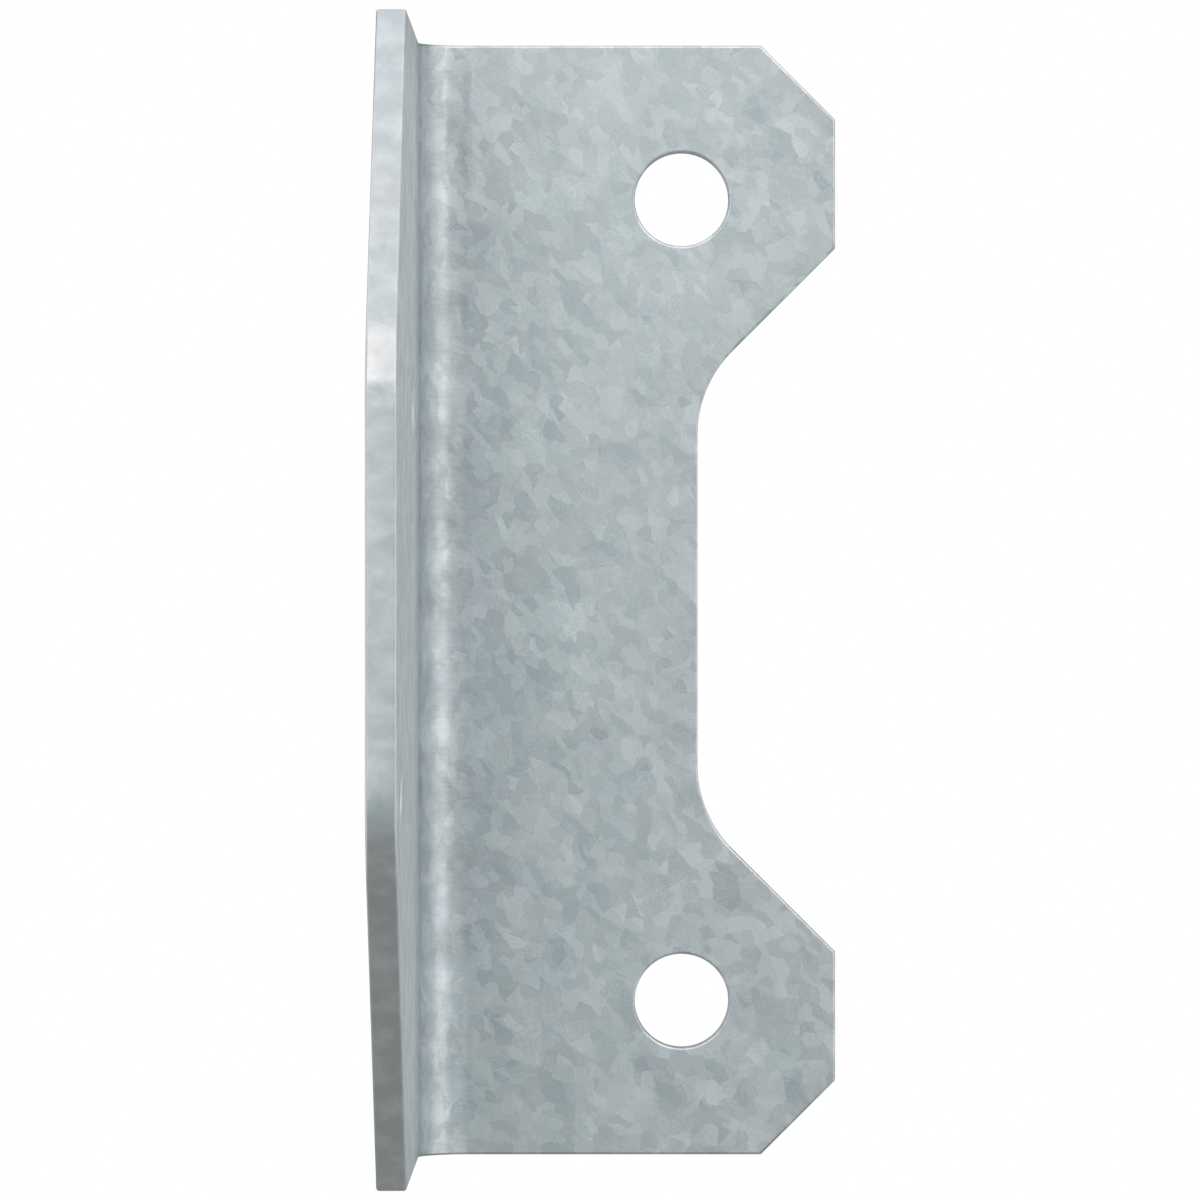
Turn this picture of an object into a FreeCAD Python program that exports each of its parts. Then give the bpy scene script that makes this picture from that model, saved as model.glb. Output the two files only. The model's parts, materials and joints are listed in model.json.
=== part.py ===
import FreeCAD, Part
import math
import os
import Sketcher

# Steel stud clip: one piece of galvanised sheet, punched and sheared to its outline, then folded
# once to a right angle.
#
# Frame, in millimetres. The anchor leg lies flat on Z = 0, as it does on the slab or beam that it
# is bolted to. The origin is on its underside, midway between the two anchor holes. +X runs to
# the anchor leg's free edge and +Y along the fold. The stud leg rises along +Z on the -X side.

SIZES = {
    # the sheet and its fold
    "clip_length": 103.19,
    "sheet_thickness": 2.66,
    "inside_fold_radius": 4.76,
    "edge_rounding": 0.25,
    # the anchor leg, whose width is taken over the stud leg's outer face
    "anchor_leg_width": 41.28,
    "corner_cut": 6.9,
    "notch_depth": 12.8,
    "notch_floor_length": 39.9,
    "notch_side_angle": 45,
    "notch_corner_radius": 11.1,
    "anchor_hole_diameter": 8.73,
    "anchor_hole_from_edge": 14.29,
    "anchor_hole_from_end": 14.29,
    # the stud leg, whose heights are taken from the anchor leg's underside
    "stud_leg_height": 80.8,
    "stud_leg_end_height": 49.6,
    "stud_leg_top_length": 41,
    "stud_leg_corner_radius": 11.1,
    "screw_hole_diameter": 6.35,
    "low_screw_height": 27,
    "low_screw_offset": 18,
    "high_screw_height": 66.7,
    "high_screw_offset": 16.2,
}

# How near two places are to count as one, in millimetres, and how near an angle is, in degrees
SAME_PLACE = 0.01
SAME_ANGLE = 1
RIGHT_ANGLE = 90

# How a sketch counts: a line's two ends, a circle's centre, its own two axes and its origin
START, END, CENTRE = range(1, 4)
LEVEL_AXIS, UPRIGHT_AXIS = -1, -2
ORIGIN = (LEVEL_AXIS, START)

doc = FreeCAD.newDocument("steel_stud_clip")

sheet = doc.addObject("Spreadsheet::Sheet", "sizes")
for row, (alias, number) in enumerate(SIZES.items(), 1):
    sheet.set(f"A{row}", alias.replace("_", " "))
    sheet.set(f"B{row}", str(number))
    sheet.setAlias(f"B{row}", alias)
doc.recompute()

clip = doc.addObject("PartDesign::Body", "stud_clip")
clip.Label = "stud_clip"


def new_sketch(name, role):
    """An empty sketch of the clip, flat on one of its origin planes."""
    plane = next(one for one in clip.Origin.OriginFeatures if one.Role == role)
    sketch = clip.newObject("Sketcher::SketchObject", name)
    sketch.AttachmentSupport = (plane, [""])
    sketch.MapMode = "FlatFace"
    return sketch


def outline(sketch, points):
    """Straight lines through the points and back to the first. Returns the lines' numbers."""
    lines = []
    for start, end in zip(points, points[1:] + points[:1]):
        line = Part.LineSegment(FreeCAD.Vector(*start, 0), FreeCAD.Vector(*end, 0))
        lines.append(sketch.addGeometry(line))
    for line, following in zip(lines, lines[1:] + lines[:1]):
        sketch.addConstraint(Sketcher.Constraint("Coincident", line, END, following, START))
    return lines


def circle(sketch, centre, diameter):
    """A circle round a centre. Returns its number."""
    up = FreeCAD.Vector(0, 0, 1)
    return sketch.addGeometry(Part.Circle(FreeCAD.Vector(*centre, 0), up, diameter / 2))


def hold(sketch, *constraint):
    """A constraint with no size of its own."""
    return sketch.addConstraint(Sketcher.Constraint(*constraint))


def dimension(sketch, name, expression, *constraint):
    """A named dimension that follows the sheet."""
    sketch.renameConstraint(hold(sketch, *constraint), name)
    sketch.setExpression(f"Constraints.{name}", expression)


def cut_through(name, sketch):
    """Cuts a sketch's outlines through the sheet, both ways from the sketch's plane."""
    doc.recompute()
    before = clip.Shape.Volume
    cut = clip.newObject("PartDesign::Pocket", name)
    cut.Profile = sketch
    cut.Type = "ThroughAll"
    cut.SideType = "Symmetric"
    doc.recompute()
    if clip.Shape.Volume > before - SAME_PLACE:
        raise RuntimeError(f"{name} cuts nothing")


def edges_through(places):
    """The names of the clip's edges that pass through the places."""
    vertices = [Part.Vertex(*place) for place in places]
    return [
        f"Edge{number}"
        for number, edge in enumerate(clip.Shape.Edges, 1)
        if any(edge.distToShape(vertex)[0] < SAME_PLACE for vertex in vertices)
    ]


def dress(kind, name, size, expression, edges):
    """Rounds or bevels edges of the clip by a size that follows the sheet."""
    base = clip.Tip
    feature = clip.newObject(f"PartDesign::{kind}", name)
    feature.Base = (base, edges)
    feature.setExpression(size, expression)
    doc.recompute()


# Places that the features share
free_edge = SIZES["anchor_hole_from_edge"]
outer_face = free_edge - SIZES["anchor_leg_width"]
inner_face = outer_face + SIZES["sheet_thickness"]
half_length = SIZES["clip_length"] / 2
thickness = SIZES["sheet_thickness"]

# The folded sheet: an angle section as long as the clip
section = new_sketch("angle_section", "XZ_Plane")
underside, anchor_edge, upperside, inside, stud_edge, outside = outline(
    section,
    [
        (outer_face, 0),
        (free_edge, 0),
        (free_edge, thickness),
        (inner_face, thickness),
        (inner_face, SIZES["stud_leg_height"]),
        (outer_face, SIZES["stud_leg_height"]),
    ],
)
for line in (underside, upperside, stud_edge):
    hold(section, "Horizontal", line)
for line in (anchor_edge, inside, outside):
    hold(section, "Vertical", line)
hold(section, "PointOnObject", underside, START, LEVEL_AXIS)
dimension(section, "free_edge", "sizes.anchor_hole_from_edge",
          "DistanceX", *ORIGIN, underside, END, free_edge)
dimension(section, "anchor_leg_width", "sizes.anchor_leg_width",
          "DistanceX", underside, START, underside, END, SIZES["anchor_leg_width"])
dimension(section, "anchor_leg_thickness", "sizes.sheet_thickness",
          "DistanceY", anchor_edge, START, anchor_edge, END, thickness)
dimension(section, "stud_leg_thickness", "sizes.sheet_thickness",
          "DistanceX", stud_edge, END, stud_edge, START, thickness)
dimension(section, "stud_leg_height", "sizes.stud_leg_height",
          "DistanceY", outside, END, outside, START, SIZES["stud_leg_height"])

folded_sheet = clip.newObject("PartDesign::Pad", "folded_sheet")
folded_sheet.Profile = section
folded_sheet.SideType = "Symmetric"
folded_sheet.setExpression("Length", "sizes.clip_length")
doc.recompute()

# The fold is one bend, so its two radii differ by the sheet's thickness
dress("Fillet", "inside_of_fold", "Radius", "sizes.inside_fold_radius",
      edges_through([(inner_face, 0, thickness)]))
dress("Fillet", "outside_of_fold", "Radius", "sizes.inside_fold_radius + sizes.sheet_thickness",
      edges_through([(outer_face, 0, 0)]))

# Anchor leg: the two outer corners are cut off
dress("Chamfer", "corner_cuts", "Size", "sizes.corner_cut",
      edges_through([(free_edge, end, thickness / 2) for end in (-half_length, half_length)]))

# Anchor leg: a wide notch in the free edge, whose outline runs a thickness past that edge
notch_floor = free_edge - SIZES["notch_depth"]
notch_mouth = free_edge + thickness
half_floor = SIZES["notch_floor_length"] / 2
side_slope = math.tan(math.radians(SIZES["notch_side_angle"]))
half_mouth = half_floor + (notch_mouth - notch_floor) / side_slope

notch = new_sketch("notch_outline", "XY_Plane")
floor, far_side, mouth, near_side = outline(
    notch,
    [
        (notch_floor, -half_floor),
        (notch_floor, half_floor),
        (notch_mouth, half_mouth),
        (notch_mouth, -half_mouth),
    ],
)
hold(notch, "Symmetric", floor, START, floor, END, LEVEL_AXIS)
hold(notch, "Symmetric", mouth, START, mouth, END, LEVEL_AXIS)
dimension(notch, "floor_place", "sizes.anchor_hole_from_edge - sizes.notch_depth",
          "DistanceX", *ORIGIN, floor, END, notch_floor)
dimension(notch, "mouth_place", "sizes.anchor_hole_from_edge + sizes.sheet_thickness",
          "DistanceX", *ORIGIN, mouth, START, notch_mouth)
dimension(notch, "floor_length", "sizes.notch_floor_length",
          "DistanceY", floor, START, floor, END, SIZES["notch_floor_length"])
dimension(notch, "side_angle", "sizes.notch_side_angle",
          "Angle", far_side, floor, math.radians(SIZES["notch_side_angle"]))
cut_through("notch", notch)
dress("Fillet", "notch_corners", "Radius", "sizes.notch_corner_radius",
      edges_through([(notch_floor, end, thickness / 2) for end in (-half_floor, half_floor)]))

# Anchor leg: two anchor holes in line with the fold, with the origin midway between them
half_spacing = half_length - SIZES["anchor_hole_from_end"]

anchor_holes = new_sketch("anchor_hole_places", "XY_Plane")
far_hole = circle(anchor_holes, (0, half_spacing), SIZES["anchor_hole_diameter"])
near_hole = circle(anchor_holes, (0, -half_spacing), SIZES["anchor_hole_diameter"])
hold(anchor_holes, "PointOnObject", far_hole, CENTRE, UPRIGHT_AXIS)
hold(anchor_holes, "Symmetric", far_hole, CENTRE, near_hole, CENTRE, LEVEL_AXIS)
hold(anchor_holes, "Equal", far_hole, near_hole)
dimension(anchor_holes, "from_middle", "sizes.clip_length / 2 - sizes.anchor_hole_from_end",
          "DistanceY", *ORIGIN, far_hole, CENTRE, half_spacing)
dimension(anchor_holes, "diameter", "sizes.anchor_hole_diameter",
          "Diameter", far_hole, SIZES["anchor_hole_diameter"])
cut_through("anchor_holes", anchor_holes)

# Stud leg: its free edge slopes down from a level middle to both ends. Each corner that is
# sheared off is a triangle that runs a thickness past the leg.
top = SIZES["stud_leg_height"]
end_height = SIZES["stud_leg_end_height"]
half_top = SIZES["stud_leg_top_length"] / 2
fall = (top - end_height) / (half_length - half_top)
past_end = half_length + thickness
past_top = top + thickness

slopes = new_sketch("stud_leg_slopes", "YZ_Plane")
far_slope, far_upright, far_level = outline(
    slopes,
    [
        (half_top - thickness / fall, past_top),
        (past_end, end_height - thickness * fall),
        (past_end, past_top),
    ],
)
near_slope, near_upright, near_level = outline(
    slopes,
    [
        (-half_top + thickness / fall, past_top),
        (-past_end, end_height - thickness * fall),
        (-past_end, past_top),
    ],
)
top_corner = slopes.addGeometry(Part.Point(FreeCAD.Vector(half_top, top, 0)), True)
end_corner = slopes.addGeometry(Part.Point(FreeCAD.Vector(half_length, end_height, 0)), True)
hold(slopes, "PointOnObject", top_corner, START, far_slope)
hold(slopes, "PointOnObject", end_corner, START, far_slope)
hold(slopes, "Vertical", far_upright)
hold(slopes, "Horizontal", far_level)
for far, near in ((far_slope, near_slope), (far_upright, near_upright), (far_level, near_level)):
    hold(slopes, "Symmetric", far, START, near, START, UPRIGHT_AXIS)
dimension(slopes, "top_half_length", "sizes.stud_leg_top_length / 2",
          "DistanceX", *ORIGIN, top_corner, START, half_top)
dimension(slopes, "top_height", "sizes.stud_leg_height",
          "DistanceY", *ORIGIN, top_corner, START, top)
dimension(slopes, "end_half_length", "sizes.clip_length / 2",
          "DistanceX", *ORIGIN, end_corner, START, half_length)
dimension(slopes, "end_height", "sizes.stud_leg_end_height",
          "DistanceY", *ORIGIN, end_corner, START, end_height)
dimension(slopes, "past_end", "sizes.clip_length / 2 + sizes.sheet_thickness",
          "DistanceX", *ORIGIN, far_upright, END, past_end)
dimension(slopes, "past_top", "sizes.stud_leg_height + sizes.sheet_thickness",
          "DistanceY", *ORIGIN, far_upright, END, past_top)
cut_through("stud_leg_corners", slopes)
dress("Fillet", "stud_leg_rounding", "Radius", "sizes.stud_leg_corner_radius",
      edges_through([(outer_face + thickness / 2, end, top) for end in (-half_top, half_top)]))

# Stud leg: two screw holes, the low one near the far end and the high one near the other
screw_holes = new_sketch("screw_hole_places", "YZ_Plane")
low_hole = circle(screw_holes, (SIZES["low_screw_offset"], SIZES["low_screw_height"]),
                  SIZES["screw_hole_diameter"])
high_hole = circle(screw_holes, (-SIZES["high_screw_offset"], SIZES["high_screw_height"]),
                   SIZES["screw_hole_diameter"])
hold(screw_holes, "Equal", low_hole, high_hole)
dimension(screw_holes, "diameter", "sizes.screw_hole_diameter",
          "Diameter", low_hole, SIZES["screw_hole_diameter"])
dimension(screw_holes, "low_offset", "sizes.low_screw_offset",
          "DistanceX", *ORIGIN, low_hole, CENTRE, SIZES["low_screw_offset"])
dimension(screw_holes, "low_height", "sizes.low_screw_height",
          "DistanceY", *ORIGIN, low_hole, CENTRE, SIZES["low_screw_height"])
dimension(screw_holes, "high_offset", "sizes.high_screw_offset",
          "DistanceX", high_hole, CENTRE, *ORIGIN, SIZES["high_screw_offset"])
dimension(screw_holes, "high_height", "sizes.high_screw_height",
          "DistanceY", *ORIGIN, high_hole, CENTRE, SIZES["high_screw_height"])
cut_through("screw_holes", screw_holes)


def sheared_edges():
    """The names of the edges where the sheet's broad faces meet its cut faces, at a right angle."""
    names = []
    for number, edge in enumerate(clip.Shape.Edges, 1):
        faces = clip.Shape.ancestorsOfType(edge, Part.Face)
        if len(faces) != 2:
            continue
        middle = edge.valueAt((edge.FirstParameter + edge.LastParameter) / 2)
        one, other = (face.normalAt(*face.Surface.parameter(middle)) for face in faces)
        if abs(math.degrees(one.getAngle(other)) - RIGHT_ANGLE) < SAME_ANGLE:
            names.append(f"Edge{number}")
    return names


# The punched and sheared edges are slightly rounded, by no more than a third of the sheet
dress("Fillet", "rounded_edges", "Radius", "min(sizes.edge_rounding; sizes.sheet_thickness / 3)",
      sheared_edges())

# Nothing is written unless every feature is sound and the clip is one whole solid
for one in doc.Objects:
    if "Invalid" in one.State or "Error" in one.State:
        raise RuntimeError(f"{one.Name} failed: {one.State}")
for sketch in doc.findObjects("Sketcher::SketchObject"):
    if sketch.FullyConstrained is False:
        raise RuntimeError(f"{sketch.Name} is not fully dimensioned")
if clip.Shape.isNull() or not clip.Shape.isValid() or len(clip.Shape.Solids) != 1:
    raise RuntimeError("the clip is not one valid solid")

os.makedirs("parts", exist_ok=True)
clip.Shape.exportStep(f"parts/{clip.Label}.step")
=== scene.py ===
import json
import math

import bmesh
import bpy
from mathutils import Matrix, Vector


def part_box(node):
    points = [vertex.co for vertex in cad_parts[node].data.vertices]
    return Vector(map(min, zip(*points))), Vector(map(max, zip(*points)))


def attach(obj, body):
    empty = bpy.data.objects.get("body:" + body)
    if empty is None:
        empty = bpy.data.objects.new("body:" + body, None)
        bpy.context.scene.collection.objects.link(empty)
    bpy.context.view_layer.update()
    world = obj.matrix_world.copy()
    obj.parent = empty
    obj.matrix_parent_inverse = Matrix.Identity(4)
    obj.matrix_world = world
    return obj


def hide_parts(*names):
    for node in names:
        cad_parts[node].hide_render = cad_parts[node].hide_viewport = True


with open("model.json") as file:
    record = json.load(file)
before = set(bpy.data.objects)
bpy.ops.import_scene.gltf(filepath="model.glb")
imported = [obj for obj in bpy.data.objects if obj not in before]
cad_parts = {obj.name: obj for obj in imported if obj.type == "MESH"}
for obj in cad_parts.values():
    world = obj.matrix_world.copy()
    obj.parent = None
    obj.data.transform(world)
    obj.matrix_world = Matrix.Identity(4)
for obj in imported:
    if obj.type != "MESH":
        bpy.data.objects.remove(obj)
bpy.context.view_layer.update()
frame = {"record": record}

# The clip
# One piece of 12 gauge galvanised sheet: blanked to its outline, folded once to a right angle
# and punched. It is bolted down by the anchor leg and screwed to a stud by the stud leg.

MM_PER_M = 1000
SHEET = 0.00266
INSIDE_FOLD_RADIUS = 0.00476
CORNER_CUT = 0.0069
NOTCH_DEPTH = 0.0128
NOTCH_FLOOR_LENGTH = 0.0399
NOTCH_CORNER_RADIUS = 0.0111
NOTCH_TURN = math.radians(45)
STUD_LEG_END_HEIGHT = 0.0496
STUD_LEG_LEVEL_LENGTH = 0.041
STUD_LEG_CORNER_RADIUS = 0.0111
EDGE_ROUNDING = 0.00025
EDGE_ROUNDING_STEPS = 4
FOLD_STEPS = 24
CORNER_STEPS = 14
CORNER_PROFILE = 0.548
HOLE_STEPS = 128
TOLERANCE = 0.00001

low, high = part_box("stud_clip")
outside_fold_radius = INSIDE_FOLD_RADIUS + SHEET
fold_x = low.x + outside_fold_radius


def choose(piece, kind, test):
    """In edit mode, selects only the vertices, edges or faces (VERT, EDGE, FACE) that pass."""
    bpy.ops.mesh.select_mode(type=kind)
    bpy.ops.mesh.select_all(action="DESELECT")
    mesh = bmesh.from_edit_mesh(piece.data)
    parts = {"VERT": mesh.verts, "EDGE": mesh.edges, "FACE": mesh.faces}[kind]
    for part in parts:
        part.select = test(part)
    mesh.select_flush_mode()
    bmesh.update_edit_mesh(piece.data)


def at(point, **place):
    """Whether a point lies at the given x, y or z, to a hundredth of a millimetre."""
    return all(abs(getattr(point, axis) - value) < TOLERANCE for axis, value in place.items())


def round_corners(piece, corners, radius, turn):
    """Rounds flat corners, where two straight edges turn by an angle, to an arc."""
    choose(piece, "VERT", lambda vert: any((vert.co - spot).length < TOLERANCE for spot in corners))
    bpy.ops.mesh.bevel(
        affect="VERTICES",
        offset_type="OFFSET",
        offset=radius * math.tan(turn / 2),
        segments=CORNER_STEPS,
        profile=CORNER_PROFILE,
    )


# The anchor leg's blank, with its outer corners cut off
bpy.ops.object.select_all(action="DESELECT")
bpy.ops.mesh.primitive_plane_add(size=1, location=((fold_x + high.x) / 2, 0, 0))
clip = bpy.context.object
clip.name = "folded_clip"
clip.scale = (high.x - fold_x, high.y - low.y, 1)
bpy.ops.object.transform_apply(location=True, rotation=False, scale=True)
bpy.ops.object.mode_set(mode="EDIT")
for end in (low.y, high.y):
    bpy.ops.mesh.select_all(action="SELECT")
    bpy.ops.mesh.bisect(
        plane_co=(high.x - CORNER_CUT, end, 0),
        plane_no=(1, math.copysign(1, end), 0),
        clear_outer=True,
    )

# Its notch: four new corners on the free edge, two of them pushed in to the notch's floor
notch_floor_x = high.x - NOTCH_DEPTH
choose(clip, "EDGE", lambda edge: all(at(vert.co, x=high.x) for vert in edge.verts))
bpy.ops.mesh.subdivide(number_cuts=4)
new_corners = sorted(
    (vert.co.copy() for vert in bmesh.from_edit_mesh(clip.data).verts if at(vert.co, x=high.x)),
    key=lambda place: place.y,
)[1:-1]
notch_corners = [
    Vector((high.x, -NOTCH_FLOOR_LENGTH / 2 - NOTCH_DEPTH, 0)),
    Vector((notch_floor_x, -NOTCH_FLOOR_LENGTH / 2, 0)),
    Vector((notch_floor_x, NOTCH_FLOOR_LENGTH / 2, 0)),
    Vector((high.x, NOTCH_FLOOR_LENGTH / 2 + NOTCH_DEPTH, 0)),
]
for old, new in zip(new_corners, notch_corners):
    choose(clip, "VERT", lambda vert: (vert.co - old).length < TOLERANCE)
    bpy.ops.transform.translate(value=new - old)
round_corners(clip, notch_corners[1:3], NOTCH_CORNER_RADIUS, NOTCH_TURN)

# The fold, and the stud leg that rises from it
choose(clip, "EDGE", lambda edge: all(at(vert.co, x=fold_x) for vert in edge.verts))
bpy.ops.mesh.spin(
    steps=FOLD_STEPS,
    angle=math.radians(90),
    center=(fold_x, 0, outside_fold_radius),
    axis=(0, -1, 0),
)
bpy.ops.mesh.extrude_edges_move(
    TRANSFORM_OT_translate={"value": (0, 0, high.z - outside_fold_radius)}
)

# Its free edge slopes down to both ends
slope_fall = high.z - STUD_LEG_END_HEIGHT
slope_run = high.y - STUD_LEG_LEVEL_LENGTH / 2
for side in (-1, 1):
    choose(clip, "FACE", lambda face: at(face.calc_center_median(), x=low.x))
    bpy.ops.mesh.bisect(
        plane_co=(low.x, side * high.y, STUD_LEG_END_HEIGHT),
        plane_no=(0, side * slope_fall, slope_run),
        clear_outer=True,
    )
top_corners = [Vector((low.x, side * STUD_LEG_LEVEL_LENGTH / 2, high.z)) for side in (-1, 1)]
round_corners(clip, top_corners, STUD_LEG_CORNER_RADIUS, math.atan2(slope_fall, slope_run))

# Points that have come to lie in one place are joined, and flat faces lose their inner edges
same_place = 0.000001
flat = math.radians(1)
bpy.ops.mesh.select_all(action="SELECT")
bpy.ops.mesh.remove_doubles(threshold=same_place)
bpy.ops.mesh.dissolve_limited(angle_limit=flat)

# The anchor holes and screw holes are where the record's mounts say. A line through the middle
# of each parts the flat there, so that its rim comes out clean.
mounts = {mount["name"]: mount for mount in frame["record"]["mounts"]}
anchor_holes = mounts["anchor_holes"]
half_spacing = anchor_holes["dims"]["spacing_y_mm"] / MM_PER_M / 2
for side in (-1, 1):
    choose(clip, "FACE", lambda face: at(face.calc_center_median(), z=0))
    bpy.ops.mesh.bisect(plane_co=(0, side * half_spacing, 0), plane_no=(0, 1, 0))
screw_holes = [mounts["low_screw_hole"], mounts["high_screw_hole"]]
for hole in screw_holes:
    choose(clip, "FACE", lambda face: at(face.calc_center_median(), x=low.x))
    bpy.ops.mesh.bisect(plane_co=hole["pos_m"], plane_no=(0, 0, 1))

# All of this is the sheet's outer skin, so its normals point down and back before it gets
# its thickness
bpy.ops.mesh.select_all(action="SELECT")
bpy.ops.mesh.normals_make_consistent(inside=False)
skin = bmesh.from_edit_mesh(clip.data)
anchor_leg = max(skin.faces, key=lambda face: face.calc_center_median().x)
anchor_leg.normal_update()
if anchor_leg.normal.z > 0:
    bpy.ops.mesh.flip_normals()
bpy.ops.object.mode_set(mode="OBJECT")
thicken = clip.modifiers.new("sheet", "SOLIDIFY")
thicken.thickness = SHEET
thicken.offset = -1
thicken.use_even_offset = True
bpy.ops.object.modifier_apply(modifier=thicken.name)


def punch(piece, centre, axis, radius):
    """Punches a round hole through a piece, with a tool several sheets long."""
    bpy.ops.object.select_all(action="DESELECT")
    bpy.ops.mesh.primitive_cylinder_add(
        vertices=HOLE_STEPS,
        radius=radius,
        depth=4 * SHEET,
        location=centre,
        rotation=Vector((0, 0, 1)).rotation_difference(axis).to_euler(),
    )
    tool = bpy.context.object
    bpy.ops.object.select_all(action="DESELECT")
    bpy.context.view_layer.objects.active = piece
    cut = piece.modifiers.new("hole", "BOOLEAN")
    cut.operation = "DIFFERENCE"
    cut.solver = "EXACT"
    cut.object = tool
    bpy.ops.object.modifier_apply(modifier=cut.name)
    bpy.data.objects.remove(tool)


for side in (-1, 1):
    centre = Vector(anchor_holes["pos_m"]) + Vector((0, side * half_spacing, 0))
    punch(clip, centre, Vector((0, 0, 1)), anchor_holes["dims"]["hole_r_mm"] / MM_PER_M)
for hole in screw_holes:
    punch(clip, Vector(hole["pos_m"]), Vector((1, 0, 0)), hole["dims"]["r_mm"] / MM_PER_M)

# The punching can leave two points almost in the same place, which would spoil the next step
almost_same_place = 0.00003
bpy.context.view_layer.objects.active = clip
bpy.ops.object.mode_set(mode="EDIT")
bpy.ops.mesh.select_all(action="SELECT")
bpy.ops.mesh.remove_doubles(threshold=almost_same_place)
bpy.ops.object.mode_set(mode="OBJECT")

# Every cut edge is slightly rounded, and the flats shade as flats right up to it. The steps of
# the fold, the corners and the holes turn by less than a cut edge does.
cut_edge = math.radians(60)
shaded_smooth = math.radians(35)
rounding = clip.modifiers.new("rounded edges", "BEVEL")
rounding.width = EDGE_ROUNDING
rounding.segments = EDGE_ROUNDING_STEPS
rounding.use_clamp_overlap = False
rounding.limit_method = "ANGLE"
rounding.angle_limit = cut_edge
bpy.ops.object.modifier_apply(modifier=rounding.name)
bpy.ops.object.select_all(action="DESELECT")
clip.select_set(True)
bpy.ops.object.shade_smooth_by_angle(angle=shaded_smooth)
flats = clip.modifiers.new("flats", "WEIGHTED_NORMAL")
flats.keep_sharp = True
bpy.ops.object.modifier_apply(modifier=flats.name)

# The steel's zinc coating: crystals of two sizes with wavering borders, each with its own tint,
# tilt and gloss, then a fine grain and the hairline scratches of handling
MIDDLE = 0.5
MIDDLE_OF_THREE = (MIDDLE, MIDDLE, MIDDLE)
zinc = bpy.data.materials.new("galvanised_steel")
zinc.use_nodes = True
nodes = zinc.node_tree.nodes
shader = nodes["Principled BSDF"]


def link(source, target):
    """Joins a node's output socket to another's input socket."""
    zinc.node_tree.links.new(source, target)


def node(kind, inputs, **settings):
    """A shader node with its settings, and its inputs as numbers or other nodes' outputs."""
    made = nodes.new(kind)
    for name, value in settings.items():
        setattr(made, name, value)
    for name, value in inputs.items():
        if isinstance(value, bpy.types.NodeSocket):
            link(value, made.inputs[name])
        else:
            made.inputs[name].default_value = value
    return made


def maths(operation, first, second):
    """The result of ADD, MULTIPLY and the like on two numbers, or on nodes' outputs."""
    return node("ShaderNodeMath", {0: first, 1: second}, operation=operation).outputs[0]


def vector_maths(operation, first, second):
    """The result of ADD, MULTIPLY and the like on two vectors, or on nodes' outputs."""
    return node("ShaderNodeVectorMath", {0: first, 1: second}, operation=operation).outputs[0]


def ramp(factor, stops):
    """A colour ramp through stops, each of them a position from 0 to 1 and a colour."""
    made = node("ShaderNodeValToRGB", {"Fac": factor})
    band = made.color_ramp.elements
    while len(band) < len(stops):
        band.new(0)
    for stop, (position, colour) in zip(band, stops):
        stop.position = position
        stop.color = (*colour, 1)
    return made.outputs["Color"]


def wavering(place, size, reach):
    """A place moved about by noise: lobes of a size, in millimetres, that reach so far."""
    noise = node(
        "ShaderNodeTexNoise", {"Vector": place, "Scale": 1 / size, "Detail": 0},
        noise_dimensions="2D",
    )
    centred = vector_maths("SUBTRACT", noise.outputs["Color"], MIDDLE_OF_THREE)
    # The noise seldom goes further than a quarter from its middle
    moved = vector_maths("MULTIPLY", centred, (4 * reach, 4 * reach, 4 * reach))
    return vector_maths("ADD", place, moved)


def crystals(place, size):
    """Random colours, one for each crystal of a size in millimetres."""
    return node(
        "ShaderNodeTexVoronoi", {"Vector": place, "Scale": 1 / size}, voronoi_dimensions="2D"
    ).outputs["Color"]


def blend(factor, start, end, **settings):
    """A number that changes while the factor does. Start and end are each a factor and a number."""
    made = node(
        "ShaderNodeMapRange",
        {"Value": factor, "From Min": start[0], "From Max": end[0],
         "To Min": start[1], "To Max": end[1]},
        **settings,
    )
    return made.outputs["Result"]


def mix(kind, factor, first, second):
    """Goes from one VECTOR or RGBA colour to another while the factor goes from 0 to 1."""
    # The mix node has sockets for every kind of value, and these are the numbers of a kind's own
    first_socket, second_socket, result = {"VECTOR": (4, 5, 1), "RGBA": (6, 7, 2)}[kind]
    made = node(
        "ShaderNodeMix", {"Factor": factor, first_socket: first, second_socket: second},
        data_type=kind,
    )
    return made.outputs[result]


def scratches(unfolded, angle, seed):
    """Sparse hairlines that run along one direction of the unfolded sheet."""
    length = 36
    width = 0.7
    stretched = node(
        "ShaderNodeMapping",
        {"Vector": unfolded, "Location": (seed, seed, 0),
         "Rotation": (0, 0, math.radians(angle)), "Scale": (length, width, 1)},
        vector_type="TEXTURE",
    ).outputs[0]
    cells = node(
        "ShaderNodeTexVoronoi", {"Vector": stretched, "Scale": 1}, voronoi_dimensions="2D"
    )
    # A quarter of the cells have one, and some are fainter than others
    strength = node("ShaderNodeSeparateColor", {"Color": cells.outputs["Color"]}).outputs[0]
    strength = blend(strength, (0.75, 0), (1, 1))
    line = blend(cells.outputs["Distance"], (0.03, 1), (0.1, 0))
    return maths("MULTIPLY", strength, line)


def die_lines(unfolded, frequency, reach):
    """Fine lines, so many in a millimetre along and round the sheet, as a change in its light."""
    noise = node(
        "ShaderNodeTexNoise",
        {"Vector": vector_maths("MULTIPLY", unfolded, frequency), "Scale": 1, "Detail": 2},
        noise_dimensions="2D",
    ).outputs["Fac"]
    return maths("MULTIPLY", maths("SUBTRACT", noise, MIDDLE), reach)


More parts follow.
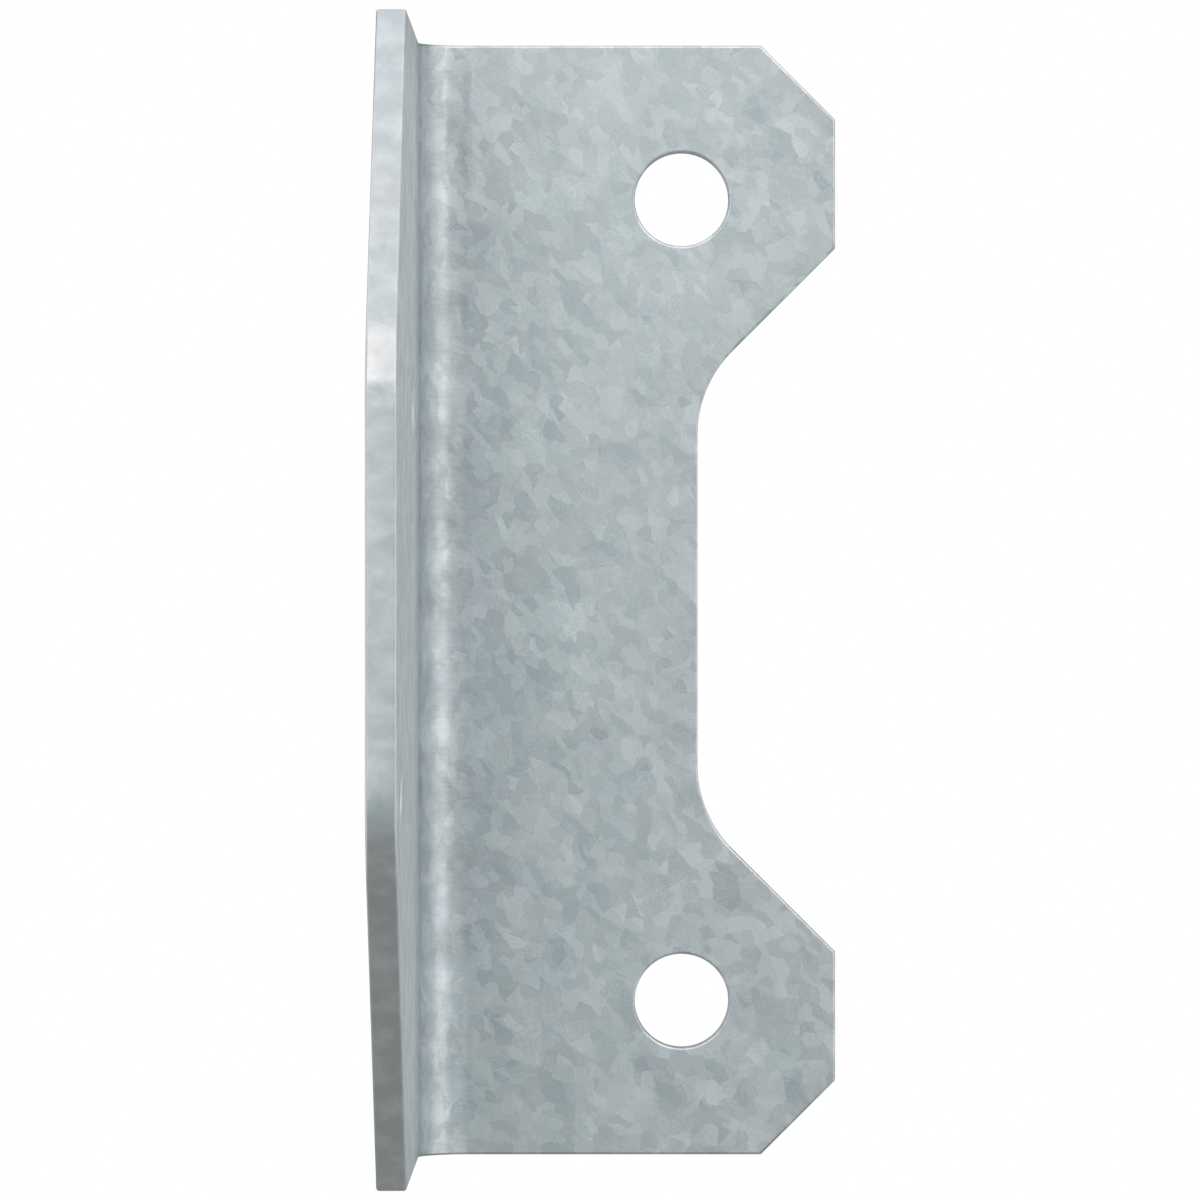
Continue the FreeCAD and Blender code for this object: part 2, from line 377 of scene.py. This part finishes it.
# Places in the coating are in millimetres. The value around is how far round the sheet a place
# lies: it grows along the anchor leg, through the fold and up the stud leg.
millimetres = vector_maths(
    "MULTIPLY",
    node("ShaderNodeTexCoord", {}).outputs["Object"],
    (MM_PER_M, MM_PER_M, MM_PER_M),
)
sides = node("ShaderNodeSeparateXYZ", {"Vector": millimetres}).outputs
around = maths("SUBTRACT", sides["Z"], sides["X"])
outer_face = low.x * MM_PER_M
inner_face = (low.x + SHEET) * MM_PER_M
fold_start = (SHEET - fold_x) * MM_PER_M
fold_fades = 28
fold_end = 31

# Where the sheet shows a rolled face, the sheared free edge of the stud leg, or the fold's inside.
# The slant keeps the crystals from streaking on the clip's two ends.
slant = maths("MULTIPLY", maths("ADD", sides["X"], sides["Z"]), 0.25)
rolled_face = node("ShaderNodeCombineXYZ", {"X": maths("ADD", sides["Y"], slant), "Y": around})
sheared_face = node("ShaderNodeCombineXYZ", {"X": sides["Y"], "Y": sides["X"]})
sheared = maths(
    "MULTIPLY",
    blend(sides["X"], (outer_face + 0.04, 0), (outer_face + 0.19, 1)),
    blend(sides["X"], (inner_face - 0.17, 1), (inner_face - 0.02, 0)),
)
fold = maths(
    "MULTIPLY",
    blend(around, (fold_start - 0.23, 0), (fold_start - 0.03, 1)),
    blend(around, (fold_fades, 1), (fold_end, 0)),
)
# The shear wipes out most of the crystals, and the press rubs them down inside the fold
left_by_shear = 0.28
left_by_press = 0.68
rolled = maths(
    "MULTIPLY",
    blend(sheared, (0, 1), (1, left_by_shear)),
    blend(fold, (0, 1), (1, left_by_press)),
)
unfolded = mix("VECTOR", sheared, rolled_face.outputs[0], sheared_face.outputs[0])

# The crystals have lobed borders, and in each large one the grain grows its own way
large_size = 2.6
small_size = 1.15
full_turn = 6.3
place = wavering(unfolded, 3.2, 0.28)
place = wavering(place, 1, 0.14)
place = wavering(place, 0.35, 0.02)
large = crystals(place, large_size)
small = crystals(place, small_size)
large_parts = node("ShaderNodeSeparateColor", {"Color": large}).outputs
small_parts = node("ShaderNodeSeparateColor", {"Color": small}).outputs
grown = node(
    "ShaderNodeVectorRotate",
    {"Vector": unfolded, "Angle": maths("MULTIPLY", large_parts[1], full_turn)},
).outputs[0]
grain = node(
    "ShaderNodeTexNoise",
    {"Vector": vector_maths("MULTIPLY", grown, (6, 2, 1)), "Scale": 1, "Detail": 3,
     "Roughness": 0.6},
    noise_dimensions="2D",
).outputs["Fac"]
marks = maths("ADD", scratches(unfolded, 20, 3), scratches(unfolded, -55, 11))
marks = maths("SUBTRACT", marks, scratches(unfolded, 75, 29))

# How light the steel is: 0 is the darkest and 1 the lightest
large_reach = 0.2
small_reach = 0.34
grain_reach = 1.4
marks_reach = 0.6
waves_reach = 1.7
sheared_tone = 0.22
tone = maths(
    "ADD",
    blend(
        large_parts[0], (0.2, -large_reach), (0.8, large_reach), interpolation_type="SMOOTHSTEP"
    ),
    blend(
        small_parts[0], (0.2, -small_reach), (0.8, small_reach), interpolation_type="SMOOTHSTEP"
    ),
)
tone = maths("ADD", tone, maths("MULTIPLY", maths("SUBTRACT", grain, MIDDLE), grain_reach))
tone = maths("ADD", tone, maths("MULTIPLY", marks, marks_reach))
tone = maths("MULTIPLY", tone, rolled)
tone = maths("ADD", tone, blend(sheared, (0, MIDDLE), (1, sheared_tone)))
# The shear leaves soft waves across its face
waves = node(
    "ShaderNodeTexNoise",
    {"Vector": vector_maths("MULTIPLY", sheared_face.outputs[0], (0.6, 0.35, 1)), "Scale": 1,
     "Detail": 3},
    noise_dimensions="2D",
).outputs["Fac"]
waves = maths("MULTIPLY", maths("SUBTRACT", waves, MIDDLE), sheared)
tone = maths("ADD", tone, maths("MULTIPLY", waves, waves_reach))

# Its colour lies between a bluish and a greyish zinc, in crystals and in wide clouds
bluish = ramp(tone, [(0, (0.604, 0.648, 0.665)), (1, (0.794, 0.834, 0.845))])
greyish = ramp(tone, [(0, (0.625, 0.645, 0.65)), (1, (0.82, 0.84, 0.835))])
cloud = node(
    "ShaderNodeTexNoise", {"Vector": millimetres, "Scale": 0.07, "Detail": 2}
).outputs["Fac"]
tint = maths("MULTIPLY", maths("ADD", large_parts[1], small_parts[1]), 0.35)
tint = blend(maths("ADD", tint, cloud), (0.55, 0), (1.15, 1))
colour = mix("RGBA", tint, bluish, greyish)

# Painted light and shade round the fold: the anchor leg beside the fold and the fold's foot are
# painted darker as shade, the fold's highlight a little lighter, and the stud leg's inner face
# lighter as light. Each row is how far round, then the shares of red, green and blue there.
painted_fold_light_and_shade = [
    (13, (1, 1, 1)),
    (19, (0.96, 0.96, 0.96)),
    (22, (0.96, 0.96, 0.96)),
    (23.5, (0.94, 0.94, 0.94)),
    (25.5, (1.01, 1.01, 1.01)),
    (27, (0.84, 0.84, 0.84)),
    (28.5, (0.8, 0.825, 0.84)),
    (30.5, (0.7, 0.75, 0.79)),
    (38, (0.76, 0.8, 0.83)),
    (48, (1.02, 1.04, 1.05)),
    (80, (1.1, 1.12, 1.13)),
]
# A ramp's colours end at 1, so the shares go through it as halves
sheet_end = 110
painted_shading_and_die_lines = ramp(
    blend(around, (0, 0), (sheet_end, 1)),
    [(reach / sheet_end, [share / 2 for share in shares]) for reach, shares in painted_fold_light_and_shade],
)
painted_shading_and_die_lines = vector_maths("MULTIPLY", painted_shading_and_die_lines, (2, 2, 2))
# Fine lines of the die run along the stud leg and across the fold, where there are patches too
along_stud_leg = die_lines(unfolded, (0.35, 5, 1), blend(around, (26, 0), (29, 0.2)))
across_fold = die_lines(unfolded, (3.5, 0.5, 1), maths("MULTIPLY", fold, 0.2))
patches_reach = maths("MULTIPLY", fold, blend(around, (24, 0.25), (25.5, 0.55)))
patches = die_lines(unfolded, (0.3, 0.1, 1), patches_reach)
lined = maths("ADD", along_stud_leg, maths("ADD", across_fold, patches))
painted_shading_and_die_lines = vector_maths("MULTIPLY", painted_shading_and_die_lines, maths("ADD", lined, 1))
inside = blend(sides["X"], (inner_face - 0.27, 0), (inner_face - 0.07, 1))
painted_shading_and_die_lines = mix("VECTOR", inside, (1, 1, 1), painted_shading_and_die_lines)
# The base colour carries this painted light and shade round the fold, with the die lines, on the
# inner skin only
link(vector_maths("MULTIPLY", colour, painted_shading_and_die_lines), shader.inputs["Base Color"])

# Each crystal has its own gloss, and the stud leg's inner face is less glossy than the rest
drawn = maths("MULTIPLY", inside, blend(around, (fold_end, 0), (36, 0.2)))
gloss = blend(maths("ADD", large_parts[2], small_parts[2]), (0, 0.24), (2, 0.42))
link(maths("ADD", gloss, drawn), shader.inputs["Roughness"])
metal_share = 0.8
shader.inputs["Metallic"].default_value = metal_share

# Each crystal has its own tilt, and the grain a slight relief, whose height is in metres
large_tilt = (0.06, 0.06, 0.06)
small_tilt = (0.05, 0.05, 0.05)
relief_height = 0.00002
relief_strength = 0.2
tilt = vector_maths(
    "ADD",
    vector_maths("MULTIPLY", vector_maths("SUBTRACT", large, MIDDLE_OF_THREE), large_tilt),
    vector_maths("MULTIPLY", vector_maths("SUBTRACT", small, MIDDLE_OF_THREE), small_tilt),
)
tilt = vector_maths("MULTIPLY", tilt, rolled)
bump = node(
    "ShaderNodeBump",
    {"Strength": relief_strength, "Distance": relief_height,
     "Height": maths("MULTIPLY", grain, rolled)},
)
normal = vector_maths("NORMALIZE", vector_maths("ADD", bump.outputs["Normal"], tilt), (0, 0, 0))
link(normal, shader.inputs["Normal"])
clip.data.materials.clear()
clip.data.materials.append(zinc)

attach(clip, "root")
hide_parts("stud_clip")

# The stage
# A plain white table, seen only as the picture's background, and soft light from all sides, most
# of it from the far end.

TABLE_SIZE = 6
TABLE_TOP = -0.0005
bpy.ops.object.select_all(action="DESELECT")
bpy.ops.mesh.primitive_plane_add(size=TABLE_SIZE, location=(0, 0, TABLE_TOP))
floor = bpy.context.object
floor.name = "floor"
white = bpy.data.materials.new("white_table")
white.use_nodes = True
white.node_tree.nodes.remove(white.node_tree.nodes["Principled BSDF"])
glow = white.node_tree.nodes.new("ShaderNodeEmission")
glow.inputs["Strength"].default_value = 1
white.node_tree.links.new(
    glow.outputs["Emission"], white.node_tree.nodes["Material Output"].inputs["Surface"]
)
floor.data.materials.append(white)
floor.visible_diffuse = False
floor.visible_glossy = False
floor.visible_shadow = False

ROOM_LIGHT = (0.27, 0.272, 0.27, 1)
world = bpy.data.worlds.new("studio")
bpy.context.scene.world = world
world.use_nodes = True
world.node_tree.nodes["Background"].inputs["Color"].default_value = ROOM_LIGHT


def softbox(name, towards, angle, spread, brightness):
    """A soft light that faces the clip, so many degrees down from overhead towards a side.

    Its spread is how far its sides are from its middle, in degrees as seen from the clip. Its
    brightness, in red, green and blue, doesn't depend on its size.
    """
    distance = 0.5
    down = math.radians(angle)
    facing = Vector((towards[0] * math.sin(down), towards[1] * math.sin(down), math.cos(down)))
    lamp_data = bpy.data.lights.new(name, "AREA")
    lamp_data.shape = "RECTANGLE"
    lamp_data.size, lamp_data.size_y = (
        2 * distance * math.tan(math.radians(half)) for half in spread
    )
    lamp_data.energy = math.pi * lamp_data.size * lamp_data.size_y
    lamp_data.color = brightness
    lamp = bpy.data.objects.new(name, lamp_data)
    lamp.location = facing * distance
    lamp.rotation_euler = facing.to_track_quat("Z", "Y").to_euler()
    lamp.visible_camera = False
    bpy.context.scene.collection.objects.link(lamp)


softbox("overhead", (0, 1), 14, (20, 20), (0.07, 0.085, 0.12))
softbox("overhead_left", (-0.7, 0.7), 20, (12, 20), (0.18, 0.29, 0.28))
softbox("far_high", (0, 1), 47, (33, 24), (1.08, 1.0, 0.98))
softbox("far_low", (0, 1), 97, (33, 26), (0.63, 0.67, 0.7))
softbox("far_right", (0.7, 0.7), 65, (12, 30), (0.8, 0.82, 0.83))
softbox("far_left", (-0.7, 0.7), 103, (13, 24), (0.7, 0.73, 0.75))
softbox("left_high", (-1, 0.3), 20, (10, 15), (0.88, 0.78, 0.72))
softbox("right_high", (1, 0), 32, (35, 18), (0.2, 0.25, 0.26))
softbox("right", (1, 0), 65, (35, 14), (0.62, 0.62, 0.64))
softbox("right_low", (1, 0), 92, (35, 13), (0.64, 0.71, 0.75))
softbox("near_high", (0, -1), 20, (33, 10), (0.11, 0.18, 0.2))
softbox("left", (-1, 0), 54, (35, 20), (0.4, 0.41, 0.42))
softbox("left_low", (-1, 0), 97, (35, 22), (0.7, 0.73, 0.75))

bpy.context.scene.view_settings.view_transform = "Standard"

# The camera
# It looks straight down on the anchor leg, from where the photograph was taken. Its picture is
# shifted, because the photograph's frame is not centred on the point below the camera.

PICTURE_PIXELS = 1200
FOCAL_LENGTH_PIXELS = 8160
SENSOR_WIDTH = 36
CAMERA_X = -0.00535
CAMERA_HEIGHT = 0.762
CAMERA_SHIFT = -0.02
camera_data = bpy.data.cameras.new("camera")
camera_data.sensor_width = SENSOR_WIDTH
camera_data.lens = camera_data.sensor_width * FOCAL_LENGTH_PIXELS / PICTURE_PIXELS
camera_data.shift_x = CAMERA_SHIFT
camera = bpy.data.objects.new("camera", camera_data)
camera.location = (CAMERA_X, 0, CAMERA_HEIGHT)
bpy.context.scene.collection.objects.link(camera)
bpy.context.scene.camera = camera
